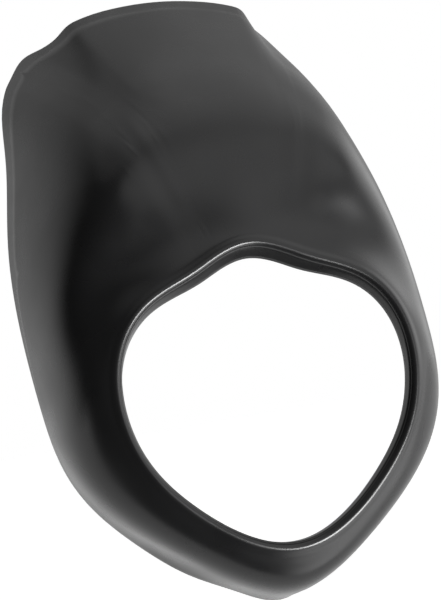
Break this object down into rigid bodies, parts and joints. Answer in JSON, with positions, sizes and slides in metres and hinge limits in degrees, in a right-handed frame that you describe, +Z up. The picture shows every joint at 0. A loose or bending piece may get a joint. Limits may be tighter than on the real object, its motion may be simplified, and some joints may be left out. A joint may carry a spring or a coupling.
{
  "type": "motorcycle semi-fairing",
  "caption": "One-piece moulded headlamp cowl with a rolled rim round the lamp opening, a raised centre panel above it, wrapped sides and screw bosses inside.",
  "frame": {"origin": "centre of the headlamp opening, in the plane of its rim", "axes": "-Y forward out of the opening, +X to the right seen from the front, +Z up towards the raised panel"},
  "size_m": [0.261, 0.152, 0.4055],
  "materials": {
    "shell": "satin black moulded ABS with a very fine grain"
  },
  "bodies": {
    "root": {"fairing_shell": "shell"}
  },
  "joints": []
}
